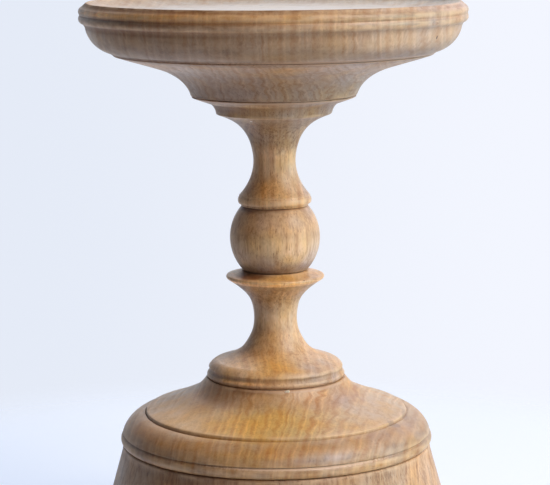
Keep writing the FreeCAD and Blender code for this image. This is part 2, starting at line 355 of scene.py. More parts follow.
def crevice_dirt_and_shade_group():
    """Thick dirt and painted shade in a crevice, a thin painted shade in the hollow beside it, both
    heavy on the shaded left and fading to the lit right.
    """
    inputs = {"Crevice": 0.0, "Hollow": 0.0, "Amount": 0.8, "Hollow Shade": 0.6}
    g, given, made = new_group("crevice dirt and painted shade", inputs, {"Thick": "Float", "Thin": "Float"})
    parts, radius = g.from_axis(given["Vector"])
    sideways = g.math("DIVIDE", parts["X"], g.math("MAXIMUM", radius, 1.0))
    slow = g.math("SUBTRACT", g.noise(given["Vector"], side_lengths, seed=6.1), 0.5)
    shaded_left = g.ramp(g.math("MULTIPLY_ADD", slow, side_wander, sideways), *side_ramp)
    crumbs = g.ramp(g.noise(given["Vector"], crumb_lengths, 3.0, 0.7, seed=8.4), *crumb_ramp)
    thick = g.times(given["Crevice"], shaded_left, crumbs, given["Amount"])
    thin = g.times(given["Hollow"], shaded_left, given["Hollow Shade"])
    finish_group(g, made, {"Thick": thick, "Thin": thin})


def patch_group(name, reach, grain, seed, unevenness, core):
    """A patch with an uneven outline: full at its place, out to the core, and gone at its reach."""
    g, given, made = new_group(name, {"Place": origin, "Reach": reach}, {"Mask": "Float"})
    apart = g.vector("DIVIDE", g.vector("SUBTRACT", given["Vector"], given["Place"]), given["Reach"])
    uneven = g.math("SUBTRACT", g.noise(given["Vector"], grain, 2.0, 0.6, seed=seed), 0.5)
    distance = g.math("MULTIPLY_ADD", uneven, unevenness, g.vector("LENGTH", apart))
    finish_group(g, made, {"Mask": g.ramp(distance, core, 1.0, 1.0, 0.0)})


def tool_marks_group():
    """Faint rings left round the wood by the turning tool, across the grain."""
    g, given, made = new_group("tool marks", {"Spacing": 0.4}, {"Height": "Float"})
    parts, radius = g.from_axis(given["Vector"])
    rings = g.node("ShaderNodeCombineXYZ", {0: radius, 1: parts["Z"]}).outputs[0]
    marks = g.noise(g.vector("DIVIDE", rings, given["Spacing"]))
    finish_group(g, made, {"Height": marks})


def wax_bloom_group():
    """How polished the wax is, from dull to bright, in soft patches and fine rubbing marks."""
    g, given, made = new_group(
        "wax bloom", {"Patch Size": 12.0, "Dull": 0.55, "Bright": 0.3}, {"Roughness": "Float"}
    )
    place = g.vector("DIVIDE", given["Vector"], given["Patch Size"])
    patch = g.noise(place, detail=3.0, roughness=0.6, seed=8.8)
    rubbed = g.noise(given["Vector"], rubbing_lengths, 2.0, 0.6, seed=1.2)
    polish = g.math("MULTIPLY_ADD", g.math("SUBTRACT", rubbed, 0.5), rubbing_share, patch)
    polish = g.ramp(polish, *polish_ramp)
    brighter = g.math("SUBTRACT", given["Bright"], given["Dull"])
    finish_group(g, made, {"Roughness": g.math("MULTIPLY_ADD", polish, brighter, given["Dull"])})


oak_figure_group()
worn_edge_group()
crevice_dirt_and_shade_group()
tool_marks_group()
wax_bloom_group()

# A soft patch, which places painted light and shade, tones of the wood and the like, and one small mark
patch_group("tone patch", reach=(10, 10, 10), grain=(6, 6, 7), seed=14.4, unevenness=0.7, core=0.25)
patch_group("ragged spot", reach=(1, 1, 1), grain=(0.9, 0.9, 0.9), seed=4.4, unevenness=0.9, core=0.55)


def new_material(name):
    """An empty material, and the graph of its nodes."""
    material = bpy.data.materials.new(name)
    material.use_nodes = True
    material.node_tree.nodes.clear()
    return material, Graph(material.node_tree)


def surface_place(g):
    """The place on the piece in millimetres."""
    return g.vector("MULTIPLY", g.node("ShaderNodeTexCoord").outputs["Object"], (1 / MM,) * 3)


def surface_value(g, name):
    """One of the three values that a turned piece carries on its surface."""
    return g.node("ShaderNodeAttribute", attribute_name=name).outputs["Fac"]


def finished(material, g, shade, roughness, relief, strength, depth, more):
    """The material with its shader, and a bump of this depth in millimetres."""
    inputs = {"Height": relief, "Strength": strength, "Distance": depth * MM}
    bump = g.node("ShaderNodeBump", inputs).outputs[0]
    inputs = {"Base Color": shade, "Roughness": roughness, "Normal": bump, **more}
    shader = g.node("ShaderNodeBsdfPrincipled", inputs)
    g.node("ShaderNodeOutputMaterial", {"Surface": shader.outputs[0]})
    return material


def tone_mask(g, place, where, reach):
    """How deep inside a soft patch the surface is, from 0 to 1."""
    return g.group("tone patch", {"Vector": place, "Place": where, "Reach": reach})["Mask"]


# What shows over the oak's own colours: worn arrises, crevice dirt darkened as painted shade, and
# painted shade in the hollow beside a crevice; and how far arrises are rubbed bare
worn_wood = colour(214, 182, 144)
crevice_dirt_and_shade_colour = colour(92, 62, 42)
painted_hollow_shade_tint = (0.66, 0.52, 0.40, 1.0)
rubbed_bare = 0.45

# The wax: roughness where it is dull and bright, how much smoother it is over dense wood, and
# how much rougher over dirt
dull_wax = 0.60
bright_wax = 0.46
dense_polish = 0.08
dirt_roughness = 0.3

# Tool marks, and how far a calm patch hides the rings and a scaly one brings out its scales
tool_mark_spacing = 0.45
tool_mark_height = 0.12
calm_share = 0.9
scaly_gain = 2.0


def oak(name, tilt=0.0, turn=0.0, shift=origin, ring_width=3.0, wander=1.0, ripple=0.5, lines=0.6,
        scales=0.0, scale_height=3.0, scaly=(), mottled=(), pores=0.5, streaks=0.6, golden=0.5,
        cloud=3.2, tint=(1.0, 1.0, 1.0), crevice_dirt_and_shade=0.4, hollow_shade=0.6, painted_light_and_tones=(), calm=(), marks=(), polish=()):
    """Waxed oak with upright grain.

    Tilt leans the rings from upright, and turn turns them about the stand's axis, both in degrees.
    Cloud is how strongly golden and pale wood part from each other. The painted light and tones,
    marks and the rest each begin with a place and a reach. A row of painted light and tones, which
    paints a shadow, shade, a highlight, a reflection, or a tone of the wood, goes on with a tint and a
    strength, a mark with a colour, a strength and a depth, a mottled patch with a strength, and polish
    with a roughness. The rings hardly show in a calm patch, and scales show only in the scaly one,
    where there is one. The crevice dirt and shade darkens crevices, more on the left where shade
    falls, and the hollow shade is painted shade in the hollow beside a crevice.
    """
    material, g = new_material(name)
    place = surface_place(g)
    blank = Matrix.Rotation(math.radians(turn), 3, "Z") @ Matrix.Rotation(math.radians(tilt), 3, "Y")
    shifted = g.vector("ADD", place, shift)
    along = {i: g.vector("DOT_PRODUCT", shifted, tuple(blank.col[i])) for i in range(3)}
    wood = g.node("ShaderNodeCombineXYZ", along).outputs[0]
    for where, reach in calm:
        mask = tone_mask(g, place, where, reach)
        lines = g.times(lines, g.math("MULTIPLY_ADD", mask, -calm_share, 1.0))
    for where, reach in scaly:
        mask = tone_mask(g, place, where, reach)
        scales = g.times(scales, g.math("MULTIPLY", mask, scaly_gain, clamp=True))
    mottle = 0.0
    for where, reach, strength in mottled:
        mottle = g.math("MULTIPLY_ADD", tone_mask(g, place, where, reach), strength, mottle)
    figure = g.group("oak figure", {
        "Vector": wood, "Ring Width": ring_width, "Ring Wander": wander, "Ripple": ripple,
        "Line Strength": lines, "Scale Strength": scales, "Scale Height": scale_height,
        "Pore Depth": pores, "Streak Strength": streaks, "Golden": golden, "Cloud": cloud,
        "Mottle": mottle,
    })
    shade = g.mix(1.0, figure["Colour"], (*tint, 1.0), "MULTIPLY")
    # Painted light and shade, and tones of the wood: each row multiplies the colour by its tint in a
    # soft patch
    for where, reach, light_and_tone_tint, strength in painted_light_and_tones:
        share = g.times(tone_mask(g, place, where, reach), strength)
        shade = g.mix(share, shade, (*light_and_tone_tint, 1.0), "MULTIPLY")
    edge = surface_value(g, "worn_edge")
    worn = g.group("worn edge", {"Vector": place, "Edge": edge, "Amount": rubbed_bare})
    shade = g.mix(worn["Mask"], shade, worn_wood)
    dirt_and_shade = g.group("crevice dirt and painted shade", {
        "Vector": place, "Crevice": surface_value(g, "crevice"), "Hollow": surface_value(g, "hollow"),
        "Amount": crevice_dirt_and_shade, "Hollow Shade": hollow_shade,
    })
    # Painted shade in the hollow beside a crevice, then dirt in the crevice itself, both stronger on the
    # left, where the shade falls
    shade = g.mix(dirt_and_shade["Thin"], shade, painted_hollow_shade_tint, "MULTIPLY")
    shade = g.mix(dirt_and_shade["Thick"], shade, crevice_dirt_and_shade_colour)
    rings = g.group("tool marks", {"Vector": place, "Spacing": tool_mark_spacing})
    relief = g.math("MULTIPLY_ADD", rings["Height"], tool_mark_height, figure["Relief"])
    for where, reach, speck, strength, depth in marks:
        spot = g.group("ragged spot", {"Vector": place, "Place": where, "Reach": reach})
        share = g.times(spot["Mask"], strength)
        shade = g.mix(share, shade, speck)
        relief = g.math("MULTIPLY_ADD", share, -depth, relief)
    wax = g.group("wax bloom", {"Vector": place, "Dull": dull_wax, "Bright": bright_wax})
    roughness = g.math("MULTIPLY_ADD", figure["Gloss"], -dense_polish, wax["Roughness"])
    roughness = g.math("MULTIPLY_ADD", dirt_and_shade["Thick"], dirt_roughness, roughness, clamp=True)
    for where, reach, smooth in polish:
        change = g.math("SUBTRACT", smooth, roughness)
        roughness = g.math("MULTIPLY_ADD", change, tone_mask(g, place, where, reach), roughness)
    more = {"Coat Weight": 0.15, "Coat Roughness": 0.35, "Coat IOR": 1.45, "IOR": 1.47}
    return finished(material, g, shade, roughness, relief, strength=0.6, depth=0.12, more=more)


def pressed_felt():
    """Dark green wool felt: matted fibres, with a paler nap where it is rubbed."""
    material, g = new_material("pressed_felt")
    place = surface_place(g)
    fibres = g.noise(place, (0.35, 0.35, 0.35), 4.0, 0.7, seed=2.0)
    mats = g.noise(place, (4.0, 4.0, 4.0), 3.0, 0.6, seed=5.0)
    shade = g.mix(fibres, colour(24, 40, 28), colour(62, 84, 62))
    shade = g.mix(g.ramp(mats, 0.4, 0.75, 0.0, 0.35), shade, colour(88, 102, 84))
    roughness = g.math("MULTIPLY_ADD", mats, 0.1, 0.86)
    more = {"Sheen Weight": 0.4, "Sheen Roughness": 0.5}
    return finished(material, g, shade, roughness, fibres, strength=0.9, depth=0.25, more=more)


def bare_beech():
    """Pale beech dowel rod with short brown flecks along it."""
    material, g = new_material("bare_beech")
    place = surface_place(g)
    flecks = g.ramp(g.noise(place, (0.5, 0.5, 2.2), seed=3.0), 0.6, 0.7)
    streak = g.noise(place, (0.8, 0.8, 18.0), 2.0, 0.6, seed=7.0)
    shade = g.mix(streak, colour(214, 180, 142), colour(190, 150, 112))
    shade = g.mix(g.times(flecks, 0.6), shade, colour(140, 98, 66))
    roughness = g.math("MULTIPLY_ADD", streak, 0.15, 0.55)
    return finished(material, g, shade, roughness, streak, strength=0.4, depth=0.08, more={})


def plated_screw():
    """Bright zinc plate with fine drawing lines and duller blotches."""
    material, g = new_material("plated_screw")
    place = surface_place(g)
    lines = g.noise(place, (6.0, 6.0, 0.12), 2.0, 0.6, seed=1.0)
    blotch = g.noise(place, (2.0, 2.0, 3.0), 2.0, 0.6, seed=4.0)
    shade = g.mix(blotch, colour(196, 198, 200), colour(158, 156, 150))
    roughness = g.math("MULTIPLY_ADD", blotch, 0.25, g.math("MULTIPLY_ADD", lines, 0.1, 0.2))
    more = {"Metallic": 1.0}
    return finished(material, g, shade, roughness, lines, strength=0.3, depth=0.05, more=more)


def dried_glue():
    """A flake of hardened white wood glue, cloudy and a little yellow."""
    material, g = new_material("dried_glue")
    place = surface_place(g)
    cloud = g.noise(place, (0.5, 0.5, 0.5), 3.0, 0.6, seed=3.0)
    shade = g.mix(cloud, colour(244, 240, 226), colour(222, 208, 180))
    roughness = g.math("MULTIPLY_ADD", cloud, 0.2, 0.3)
    more = {"Subsurface Weight": 0.3, "Subsurface Radius": (0.6 * MM, 0.5 * MM, 0.4 * MM)}
    return finished(material, g, shade, roughness, cloud, strength=0.5, depth=0.08, more=more)


def half_section(node):
    """A turned node's outline, and whether it is closed, which it is for a bored piece.

    The outline is radius and height pairs, from the underside outwards and up.
    """
    mesh = bmesh.new()
    mesh.from_mesh(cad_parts[node].data)
    bmesh.ops.remove_doubles(mesh, verts=mesh.verts, dist=weld_distance)
    for side in ((0, 1, 0), (-1, 0, 0)):
        everything = mesh.verts[:] + mesh.edges[:] + mesh.faces[:]
        bmesh.ops.bisect_plane(
            mesh, geom=everything, dist=plane_tolerance,
            plane_co=origin, plane_no=side, clear_outer=True,
        )
    links = {}
    for edge in mesh.edges:
        if edge.is_boundary and all(abs(vert.co.y) < 2 * plane_tolerance for vert in edge.verts):
            first, second = edge.verts
            links.setdefault(first, []).append(second)
            links.setdefault(second, []).append(first)
    ends = [vert for vert, beside in links.items() if len(beside) == 1]
    here = min(ends or links, key=lambda vert: (round(vert.co.z, 6), vert.co.x))
    chain, before = [here], None
    while ahead := [vert for vert in links[here] if vert is not before]:
        before, here = here, ahead[0]
        if here is chain[0]:
            break
        chain.append(here)
    spots = np.array([(vert.co.x, vert.co.z) for vert in chain])
    mesh.free()
    turned = np.roll(spots, -1, axis=0)
    if np.sum(spots[:, 0] * turned[:, 1] - turned[:, 0] * spots[:, 1]) < 0:
        spots = spots[::-1]
    return spots, not ends


def evenly_spaced(spots, closed):
    """The same outline with a spot at every step along it."""
    path = np.vstack([spots, spots[:1]]) if closed else spots
    along = np.concatenate([[0], np.cumsum(np.linalg.norm(np.diff(path, axis=0), axis=1))])
    count = max(8, int(round(along[-1] / section_step)))
    marks = np.linspace(0, along[-1], count, endpoint=not closed)
    return np.column_stack([np.interp(marks, along, path[:, i]) for i in (0, 1)])


def eased(spots, closed, reach):
    """The outline with its corners rounded over this reach. An open one is mirrored at the axis."""
    width = reach / section_step
    half = int(math.ceil(ease_span * width))
    if closed:
        longer = np.vstack([spots[-half:], spots, spots[:half]])
    else:
        mirror = np.array([-1, 1])
        longer = np.vstack([spots[half:0:-1] * mirror, spots, spots[-2 : -half - 2 : -1] * mirror])
    kernel = np.exp(-0.5 * (np.arange(-half, half + 1) / width) ** 2)
    kernel /= kernel.sum()
    result = np.column_stack([np.convolve(longer[:, i], kernel, mode="valid") for i in (0, 1)])
    if not closed:
        result[0, 0] = result[-1, 0] = 0
    return result


def outward(spots, closed):
    """Unit normals of the outline, out of the wood."""
    if closed:
        run = np.roll(spots, -1, axis=0) - np.roll(spots, 1, axis=0)
    else:
        run = np.gradient(spots, axis=0)
    run /= np.maximum(np.linalg.norm(run, axis=1), 1e-12)[:, None]
    return np.column_stack([run[:, 1], -run[:, 0]])


def thinned(rows):
    """Which rows to keep, so that straight lines between them stay within the tolerance."""
    keep = np.zeros(len(rows), bool)
    keep[[0, -1]] = True
    waiting = [(0, len(rows) - 1)]
    while waiting:
        first, last = waiting.pop()
        if last - first < 2:
            continue
        between = rows[first + 1 : last]
        chord = rows[last] - rows[first]
        share = np.clip((between - rows[first]) @ chord / max(chord @ chord, 1e-18), 0, 1)
        apart = np.linalg.norm(between - rows[first] - share[:, None] * chord, axis=1)
        worst = int(np.argmax(apart))
        if apart[worst] > section_tolerance:
            middle = first + 1 + worst
            keep[middle] = True
            waiting += [(first, middle), (middle, last)]
    return keep


def wear_round(name, along, turn):
    """How worn the arrises are, from 0 to 1, at each angle and at each distance along the outline."""
    chance = np.random.default_rng([wear_seed, len(name)])
    wear = np.zeros((len(turn), len(along)))
    for waves, size in wear_waves:
        phase, drift = chance.uniform(0, 2 * math.pi, 2)
        wear += size * np.sin(waves * turn[:, None] + phase + drift * along[None, :] / wear_drift)
    return np.clip(mean_wear + wear_swing * wear + right_wear * np.cos(turn)[:, None], 0, 1)


def faces_round(facets, count, closed):
    """The faces between the copies of an outline round the axis, triangles where it meets the axis."""
    on_axis = [] if closed else [0, count - 1]
    faces = []
    for i in range(facets):
        here, beside = i * count, (i + 1) % facets * count
        for j in range(count if closed else count - 1):
            k = (j + 1) % count
            if j in on_axis:
                faces.append((here + k, j, beside + k))
            elif k in on_axis:
                faces.append((k, here + j, beside + j))
            else:
                faces.append((here + j, beside + j, beside + k, here + k))
    return faces


class Section:
    """One turned piece's outline, crisp and worn, with its edge and crevice values."""

    def __init__(self, node):
        spots, self.closed = half_section(node)
        exact = evenly_spaced(spots, self.closed)
        self.crisp = eased(exact, self.closed, crisp_ease)
        self.worn = eased(exact, self.closed, worn_ease)
        form = eased(exact, self.closed, form_ease)
        proud = np.sum((self.crisp - form) * outward(form, self.closed), axis=1)
        self.edge = np.clip(proud / edge_depth, 0, 1)
        self.crevice = np.clip(-proud / crevice_depth, 0, 1)
        self.hollow = self.crevice

    def near(self, others):
        """Marks as crevice whatever lies close to a neighbour's outline."""
        spots = np.vstack([other.crisp for other in others])
        tree = KDTree(len(spots))
        for index, (radius, height) in enumerate(spots):
            tree.insert((radius, height, 0), index)
        tree.balance()
        apart = np.array([tree.find((radius, height, 0))[2] for radius, height in self.crisp])
        touch = np.clip(1 - apart / joint_reach, 0, 1) ** 2
        self.crevice = np.maximum(self.crevice, touch)
        self.edge = self.edge * (1 - touch)
        values = np.column_stack([self.crevice, self.crevice])
        spread = eased(values, self.closed, hollow_reach)[:, 0]
        self.hollow = np.clip(hollow_gain * np.abs(spread), 0, 1)

    def spun(self, name, material):
        """A mesh object of the outline turned about Z, with more or less worn arrises round it."""
        values = np.column_stack([self.edge, self.crevice, self.hollow])
        rows = np.column_stack([self.crisp, self.worn, values * value_weight])
        keep = thinned(np.vstack([rows, rows[:1]]) if self.closed else rows)[: len(rows)]
        crisp, worn, values = self.crisp[keep], self.worn[keep], values[keep]
        along = np.arange(len(self.crisp))[keep] * section_step
        girth = 2 * math.pi * crisp[:, 0].max()
        facets = max(fewest_facets, facet_step * math.ceil(girth / facet_width / facet_step))
        turn = np.arange(facets) * (2 * math.pi / facets)
        wear = wear_round(name, along, turn)[..., None]
        spots = crisp[None] * (1 - wear) + worn[None] * wear
        radius, height = spots[..., 0], spots[..., 1]
        turn = turn[:, None]
        verts = np.stack([radius * np.cos(turn), radius * np.sin(turn), height], axis=-1)
        faces = faces_round(facets, len(crisp), self.closed)
        mesh = bpy.data.meshes.new(name)
        mesh.from_pydata(verts.reshape(-1, 3).tolist(), [], faces)
        for label, value in zip(("worn_edge", "crevice", "hollow"), values.T):
            attribute = mesh.attributes.new(label, "FLOAT", "POINT")
            attribute.data.foreach_set("value", np.tile(value, facets).astype(np.float32))
        work = bmesh.new()
        work.from_mesh(mesh)
        loose = [vert for vert in work.verts if not vert.link_faces]
        bmesh.ops.delete(work, geom=loose, context="VERTS")
        bmesh.ops.recalc_face_normals(work, faces=work.faces)
        work.to_mesh(mesh)
        work.free()
        mesh.polygons.foreach_set("use_smooth", np.ones(len(mesh.polygons), bool))
        mesh.materials.append(material)
        return placed(name, mesh)


# Farther in millimetres than any side of the stand
everywhere = 900


def level(height, reach):
    """The place and the reach of a band all round the stand."""
    return (0, 0, height), (everywhere, everywhere, reach)


# Marks that the stand has picked up, and pale wax in its joints, which also paints light into their
# shade: place, reach, colour, strength and depth
dark_mark = colour(70, 46, 34)
smear_colour = colour(132, 104, 82)
# Pale wax settled in a quirk and in the joints: lighter than the shade there, it paints light into it
settled_wax_and_light = colour(206, 178, 152)
joint_wax_and_light = colour(176, 144, 118)
dust_colour = colour(226, 220, 212)
lower_stem_marks = [
    ((10.4, -14.2, 102.4), (0.7, 0.7, 1), dark_mark, 0.9, 0.3),
    ((10, -22, 64.5), (22, 18, 0.7), joint_wax_and_light, 0.6, 0),
]
boss_marks = [
    (*level(166.3, 0.8), joint_wax_and_light, 0.8, 0),
    ((30, -36, 181.8), (60, 60, 0.7), joint_wax_and_light, 0.7, 0),
]
cap_marks = [
    ((-8.1, -15, 158.7), (0.5, 0.5, 0.5), dust_colour, 0.8, -0.2),
    ((-9.4, -14.4, 159.4), (0.6, 0.6, 0.4), dust_colour, 0.6, -0.2),
    ((-6.9, -15.2, 158.2), (0.4, 0.4, 0.5), dust_colour, 0.6, -0.2),
    (*level(166, 0.6), joint_wax_and_light, 0.8, 0),
]
dome_marks = [
    ((42, -24.5, 52.2), (3.2, 2.6, 2.5), smear_colour, 0.6, 0.1),
    ((46.3, -12.5, 52.4), (1.6, 8, 2), smear_colour, 0.45, 0),
    ((10, -54, 44.15), (38, 36, 0.65), settled_wax_and_light, 0.7, 0),
    ((10, -22, 64.1), (22, 18, 0.7), joint_wax_and_light, 0.6, 0),
]
dish_marks = [
    ((55.2, -36, 188.9), (0.8, 0.8, 0.9), dark_mark, 0.8, 0.2),
    ((50.3, -29.2, 182.4), (0.8, 0.8, 0.9), dark_mark, 0.8, 0.2),
    ((-4.6, 39.6, 196.4), (1.2, 2, 1), dark_mark, 0.7, 0.1),
    ((-15.8, 41.2, 196.4), (1.4, 2, 1), dark_mark, 0.6, 0.1),
    ((30, -36, 182.2), (60, 60, 0.7), joint_wax_and_light, 0.7, 0),
]

# Where the wax is polished or dull: place, reach and roughness
dish_polish = [
    ((0, 0, 196.4), (78, 78, 6), 0.3),
    ((-58, -26, 200), (34, 44, 1.8), 0.9),
    ((54, -42.7, 194), (5, 5, 2), 0.26),
    ((43.3, -53.7, 194.7), (4, 4, 1.6), 0.28),
]
dome_polish = [((20, -50.6, 46.8), (5.5, 4.5, 1.8), 0.3)]
flange_polish = [((0, -17, 101.1), (16, 7, 1.2), 0.26)]

# Painted light and shade, and tones of the wood, from the top down: place, reach, tint and strength
# On the dish: painted shade along the crest and in the grooves on the left, a painted shadow on the
# inner wall at the back right, bead highlights painted in on the left and cut back on the right, a
# painted reflection of the pale room on the dish floor, and painted light and shade on the bowl's side,
# darker towards the bottom
dish_painted_light_and_tones = [
    (*level(200.3, 1), (0.76, 0.71, 0.64), 1),
    ((-42, -50, 200), (75, 75, 2.2), (0.60, 0.48, 0.34), 1.3),
    ((42, -48, 199.5), (36, 34, 1.2), (1.12, 1.22, 1.44), 1),
    ((57, 26, 199.4), (20, 24, 1.8), (0.50, 0.42, 0.37), 1.2),
    ((44, -50, 197.5), (60, 50, 1.3), (0.64, 0.68, 0.72), 1.1),
    ((-60, -33, 197.4), (26, 30, 1.1), (1.80, 1.80, 1.80), 1),
    ((-24, -50, 197.3), (80, 80, 2.4), (1.30, 1.12, 0.72), 1.2),
    ((-44, -46, 197.2), (50, 44, 1.3), (1.36, 1.30, 1.26), 1.1),
    ((0, 0, 196.4), (75, 75, 7), (0.94, 1.07, 1.32), 2.5),
    ((0, -46, 196.4), (70, 12, 3), (0.80, 0.76, 0.72), 1),
    ((-16, -58, 195.8), (60, 30, 0.9), (1.36, 1.26, 1.06), 1),
    ((-40, -50, 195.3), (60, 60, 1.6), (0.72, 0.66, 0.60), 1.2),
    ((48, -46, 194.7), (38, 36, 1.2), (0.64, 0.67, 0.72), 1.1),
    ((-40, -50, 194.5), (60, 50, 0.9), (0.90, 0.80, 0.72), 1),
    ((14, -62, 194), (26, 20, 1.1), (1.25, 1.23, 1.18), 1),
    ((-30, -50, 192), (80, 60, 2.6), (1.14, 1.14, 1.12), 1),
    ((50, -42, 189), (50, 44, 10), (1.22, 1.27, 1.44), 1.4),
    ((0, -62, 188.5), (42, 26, 5), (0.92, 0.88, 0.84), 1),
    ((-40, -50, 187), (46, 46, 8), (0.78, 0.74, 0.72), 1.1),
    ((42, -50, 186.9), (36, 28, 2.4), (1.20, 1.20, 1.18), 1),
    (*level(184.6, 4.6), (0.78, 0.80, 0.86), 1.1),
    ((46, -44, 183.8), (40, 36, 2.8), (0.78, 0.77, 0.82), 1.1),
]
boss_painted_light_and_tones = [
    # On the boss, all painted light and shade: shade under the dish, light on the left and front, and
    # cooler shade round its middle and at its foot
    (*level(181.4, 1.5), (0.76, 0.73, 0.74), 1),
    ((-50, -20, 180), (30, 40, 6), (1.36, 1.36, 1.36), 1),
    ((10, -50, 180), (36, 36, 4), (1.05, 1.05, 1.10), 1),
    (*level(171.5, 8), (0.80, 0.84, 0.92), 1),
    (*level(167, 1.2), (0.86, 0.84, 0.84), 1),
]
upper_stem_painted_light_and_tones = [
    # On the upper stem: painted shade under the dish, painted light and a cool painted reflection down
    # its middle, and a golden tone low in front
    ((-10, -20, 164.6), (24, 24, 1.1), (1.22, 1.24, 1.30), 1),
    ((24, -10, 162), (18, 22, 8), (0.81, 0.81, 0.90), 1.2),
    (*level(158, 15), (0.68, 0.74, 0.90), 1.4),
    ((1, -9, 146.5), (10, 9, 3.6), (1.16, 1.17, 1.26), 1),
    (*level(143.5, 6.5), (1.12, 1.22, 1.46), 1),
    ((5, -9, 141.3), (7, 7, 2.6), (0.80, 0.80, 0.80), 1),
    ((8, -6, 138), (9, 12, 12), (1, 1.04, 1.18), 1),
    ((-2, -9, 133.5), (9, 8, 5), (1.10, 0.98, 0.74), 1),
    (*level(127.8, 2.2), (1.12, 1.10, 1.06), 1),
]
ball_painted_light_and_tones = [
    # On the ball: a painted shadow under the collar, painted shade at its bottom, painted light and a
    # cool painted reflection round its middle, and a golden tone at the front
    ((-6, -7, 126.9), (18, 18, 1.8), (0.42, 0.30, 0.22), 1.3),
    ((-10, -10, 123), (16, 16, 8), (0.84, 0.80, 0.76), 1),
    ((8, -14.5, 122.5), (9, 8, 3.5), (0.78, 0.80, 0.84), 1),
    (*level(121.5, 4), (1.14, 1.12, 1.10), 1),
    ((-3, -16, 115), (9, 9, 8), (1.06, 1, 0.78), 1.2),
    ((5, -15, 114), (7, 7, 6), (1.10, 1.12, 1.22), 1),
    ((5, -14, 112), (24, 24, 7), (1.23, 1.35, 1.52), 1.3),
    ((8, -15.5, 112), (7, 6, 4), (1.10, 1.18, 1.40), 1),
    ((-5, -15, 109), (12, 8, 4.5), (0.78, 0.76, 0.76), 1.1),
    ((13, -8, 108), (9, 10, 7), (0.94, 0.97, 1.12), 1),
    ((7, -15, 107), (8, 6, 2.6), (0.80, 0.88, 1.08), 1),
    (*level(104.2, 4.2), (0.63, 0.68, 0.90), 1),
]
lower_stem_painted_light_and_tones = [
    # On the lower stem: a painted shadow on the flange under the ball, a painted highlight round the
    # flange's edge, painted light and shade down the neck and over the foot, with the foot bead lit on
    # the left and dimmed on the right, and golden tones on the flange and the foot
    ((-9, -10.5, 103.2), (11.5, 10, 1.7), (0.42, 0.29, 0.21), 1.3),
    ((0, -16, 103), (14, 8, 3), (0.98, 0.92, 0.74), 1.2),
    ((-16.5, -6, 102.3), (7, 9, 3), (1.32, 1.26, 1.26), 1.2),
    ((15, -9, 102.3), (8, 10, 3), (0.86, 0.86, 0.93), 1),
    ((-9, -13, 101.6), (10, 8, 1), (1.38, 1.34, 1.20), 1),
    ((13, -12, 101), (7, 8, 1.6), (0.80, 0.82, 0.86), 1),
    (*level(100.5, 1), (1.85, 1.78, 1.62), 1),
    ((-14.5, -6, 97.5), (6, 9, 4), (0.72, 0.68, 0.68), 1),
    (*level(97, 4.5), (0.90, 0.92, 1.02), 1),
    ((6, -10, 97), (8, 8, 4), (1.14, 1.12, 1.20), 1),
    ((2, -9, 88.5), (12, 12, 7), (1.06, 1.10, 1.14), 1),
    ((-1, -8, 86), (10, 9, 4), (1.22, 1.22, 1.16), 1),
    ((4, -10, 77.5), (10, 9, 4), (0.85, 0.87, 0.93), 1),
    ((0, -20, 71), (13, 13, 6), (1.06, 1, 0.76), 1),
    ((-14, -18, 69), (16, 16, 6), (1.12, 1.14, 1.10), 1),
    ((-9, -22, 68.2), (12, 10, 4), (1.14, 1.12, 1.08), 1),
    ((16, -16, 68), (18, 18, 5.5), (0.79, 0.81, 0.93), 1.2),
    ((12, -22, 67.2), (10, 9, 3.2), (0.80, 0.83, 0.88), 1),
    (*level(67, 4.2), (0.88, 0.90, 0.98), 1.2),
    ((-15, -20, 66.3), (14, 12, 1.2), (1.42, 1.42, 1.38), 1),
    (*level(64.9, 1.6), (0.86, 0.80, 0.82), 1),
]
